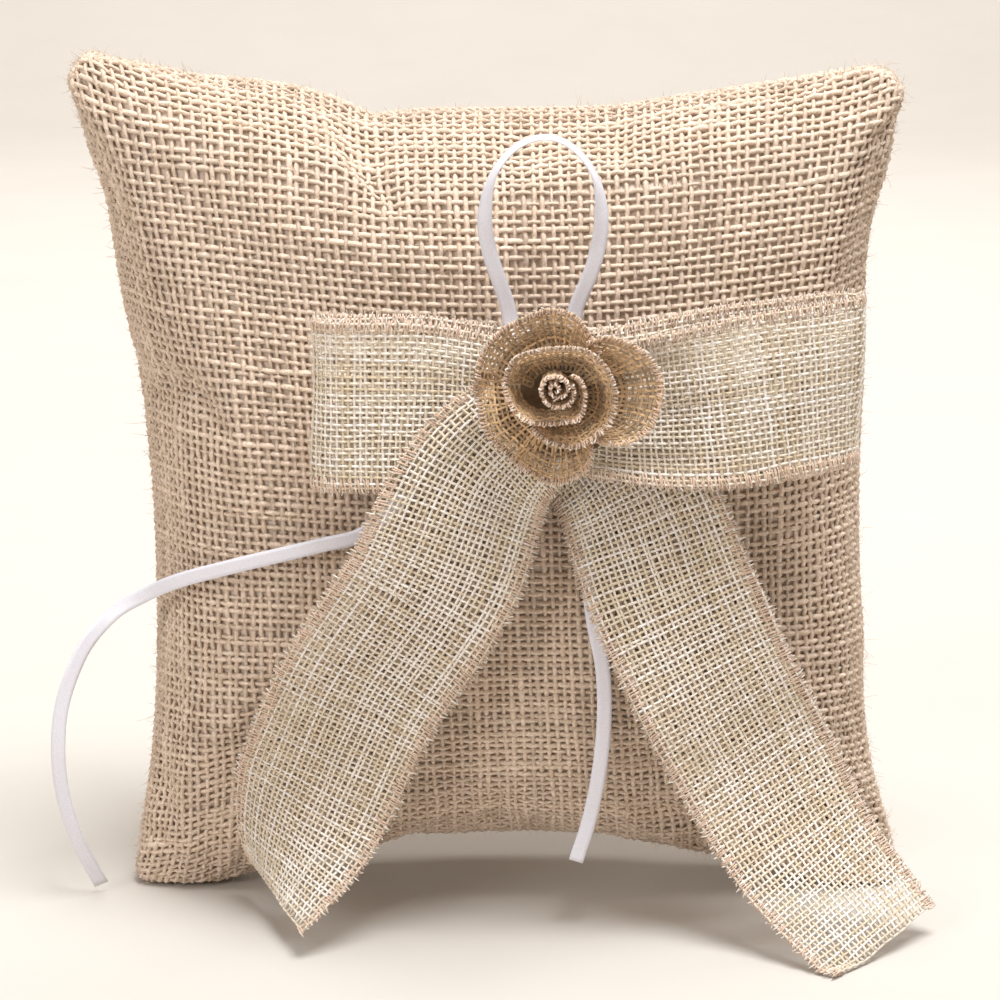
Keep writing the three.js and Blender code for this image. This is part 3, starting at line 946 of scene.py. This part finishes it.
def make_ring_ribbon():
    stored["satin"] = satin_material("satin_ribbon", settings().satin.colour)
    loop = [(KNOT[0] + x, KNOT[1] + y, KNOT[2] + z, *face) for x, y, z, *face in RING_LOOP]
    make_satin_band("ring_ribbon_loop", loop, "ring_loop")
    make_satin_band("ring_ribbon_tail_left", RING_TAIL_LEFT, "pillow")
    make_satin_band("ring_ribbon_tail_right", RING_TAIL_RIGHT, "pillow")
    bm = bmesh.new()
    size = Matrix.Diagonal((*(MM * side for side in KNOT_HALF_SIZE), 1))
    place = Matrix.Translation(placed([KNOT[0], KNOT[1], KNOT[2] - KNOT_SINK]))
    bmesh.ops.create_uvsphere(bm, u_segments=48, v_segments=24, radius=1, matrix=place @ size)
    for face in bm.faces:
        face.smooth = True
    mesh = bpy.data.meshes.new("ring_ribbon_knot_satin")
    bm.to_mesh(mesh)
    bm.free()
    knot = new_object("ring_ribbon_knot_satin", mesh, stored["satin"])
    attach(knot, "pillow")
    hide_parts("ring_ribbon_knot")


# ---------------------------------------------------------------- stage


CAMERA_TARGET_HEIGHT = 104
SENSOR_WIDTH = 36
LENS_SHIFT = -0.02
FLOOR_COLOURS = ((0.60, 0.56, 0.51), (0.62, 0.58, 0.53))
ROOM_COLOUR, ROOM_STRENGTH = (1.0, 0.88, 0.76, 1), 0.32
WHITE = (1, 1, 1)
# Each soft light's name, size in metres, watts, place, what it points at (None for the cushion) and colour.
LAMPS = (
    ("overhead", 0.6, 23, (0.22, -0.28, 1.3), None, (0.95, 0.975, 1.0)),
    ("key", 0.5, 5, (-0.8, -0.85, 0.55), None, WHITE),
    ("backdrop", 2.0, 90, (0, 0.9, 2.2), (0, 3.2, 0.9), WHITE),
)


def add_light(name, size, energy, location, target, colour):
    light = bpy.data.lights.new(name, "AREA")
    light.size = size
    light.energy = energy
    light.color = colour
    lamp = bpy.data.objects.new(name, light)
    lamp.location = location
    lamp.rotation_euler = (Vector(target) - Vector(location)).to_track_quat("-Z", "Y").to_euler()
    bpy.context.scene.collection.objects.link(lamp)


def cove(look):
    """A pale floor that curves up into a backdrop far behind."""
    bm = bmesh.new()
    bmesh.ops.create_grid(bm, x_segments=1, y_segments=60, size=6)
    radius, start = 1.5, 2.0
    for vert in bm.verts:
        past = vert.co.y - start
        if past > 0:
            angle = min(past / radius, math.pi / 2)
            rest = past - angle * radius
            vert.co.y = start + radius * math.sin(angle)
            vert.co.z = radius * (1 - math.cos(angle)) + rest
    for face in bm.faces:
        face.smooth = True
    mesh = bpy.data.meshes.new("floor")
    bm.to_mesh(mesh)
    bm.free()
    return new_object("floor", mesh, look)


def make_stage():
    stage, scene = settings().stage, bpy.context.scene
    target = Vector(placed([0, 0, CAMERA_TARGET_HEIGHT]))
    away = Vector((0, math.cos(stage.elevation), -math.sin(stage.elevation)))
    camera = bpy.data.objects.new("camera", bpy.data.cameras.new("camera"))
    camera.data.lens = stage.focal_length
    camera.data.sensor_width = SENSOR_WIDTH
    camera.data.shift_y = LENS_SHIFT
    camera.location = target - away * stage.distance
    camera.rotation_euler = away.to_track_quat("-Z", "Y").to_euler()
    scene.collection.objects.link(camera)
    scene.camera = camera
    floor_look, nodes, links, shader = new_material("floor")
    dark, light = FLOOR_COLOURS
    mottled = ramp(nodes, links, noise(nodes, links, 8), [(0.3, dark), (0.7, light)])
    links.new(mottled, shader.inputs["Base Color"])
    shader.inputs["Roughness"].default_value = 0.85
    cove(floor_look)
    world = bpy.data.worlds.new("room")
    world.use_nodes = True
    background = world.node_tree.nodes["Background"]
    background.inputs["Color"].default_value = ROOM_COLOUR
    background.inputs["Strength"].default_value = ROOM_STRENGTH
    scene.world = world
    for name, size, energy, location, aim, colour in LAMPS:
        add_light(name, size, energy, location, tuple(target) if aim is None else aim, colour)
    scene.view_settings.view_transform = "Standard"


# ---------------------------------------------------------------- operators and panel


class RINGPILLOW_OT_stage(bpy.types.Operator):
    """Set up the camera, the floor and the soft lights"""

    bl_idname = "ring_pillow.stage"
    bl_label = "Stage"

    def execute(self, context):
        make_stage()
        return {"FINISHED"}


class RINGPILLOW_OT_ring_ribbon(bpy.types.Operator):
    """Make the satin ring ribbon: its loop and its two hanging ends"""

    bl_idname = "ring_pillow.ring_ribbon"
    bl_label = "Ring ribbon"

    def execute(self, context):
        make_ring_ribbon()
        return {"FINISHED"}


class RINGPILLOW_OT_cushion(bpy.types.Operator):
    """Blow up the cushion and weave the jute over its lining"""

    bl_idname = "ring_pillow.cushion"
    bl_label = "Cushion"

    def execute(self, context):
        make_cushion()
        return {"FINISHED"}


class RINGPILLOW_OT_bow(bpy.types.Operator):
    """Weave the bow's two loops and two tails of mesh ribbon"""

    bl_idname = "ring_pillow.bow"
    bl_label = "Bow"

    def execute(self, context):
        make_bow()
        return {"FINISHED"}


class RINGPILLOW_OT_rose(bpy.types.Operator):
    """Roll the ribbon rose and lay its felt base"""

    bl_idname = "ring_pillow.rose"
    bl_label = "Rose"

    def execute(self, context):
        make_rose()
        return {"FINISHED"}


OPERATORS = (
    RINGPILLOW_OT_stage, RINGPILLOW_OT_ring_ribbon, RINGPILLOW_OT_cushion,
    RINGPILLOW_OT_bow, RINGPILLOW_OT_rose,
)


class RINGPILLOW_PT_panel(bpy.types.Panel):
    """Lists the ring pillow's pieces and settings"""

    bl_label = "Ring Pillow"
    bl_idname = "RINGPILLOW_PT_panel"
    bl_space_type = "VIEW_3D"
    bl_region_type = "UI"
    bl_category = "Ring Pillow"

    def draw(self, context):
        for operator in OPERATORS:
            self.layout.operator(operator.bl_idname)
        for group in ("jute", "ribbon", "satin", "stage"):
            box = self.layout.box()
            values = getattr(settings(), group)
            for name in values.bl_rna.properties.keys():
                if name not in {"rna_type", "name"}:
                    box.prop(values, name)


CLASSES = (
    JuteSettings, RibbonSettings, SatinSettings, StageSettings, RingPillowSettings,
    *OPERATORS, RINGPILLOW_PT_panel,
)


def register():
    for cls in CLASSES:
        bpy.utils.register_class(cls)
    bpy.types.Scene.ring_pillow = PointerProperty(type=RingPillowSettings)


def unregister():
    del bpy.types.Scene.ring_pillow
    for cls in reversed(CLASSES):
        bpy.utils.unregister_class(cls)


def main():
    register()
    for operator in OPERATORS:
        group, name = operator.bl_idname.split(".")
        getattr(getattr(bpy.ops, group), name)()


if __name__ == "__main__":
    main()
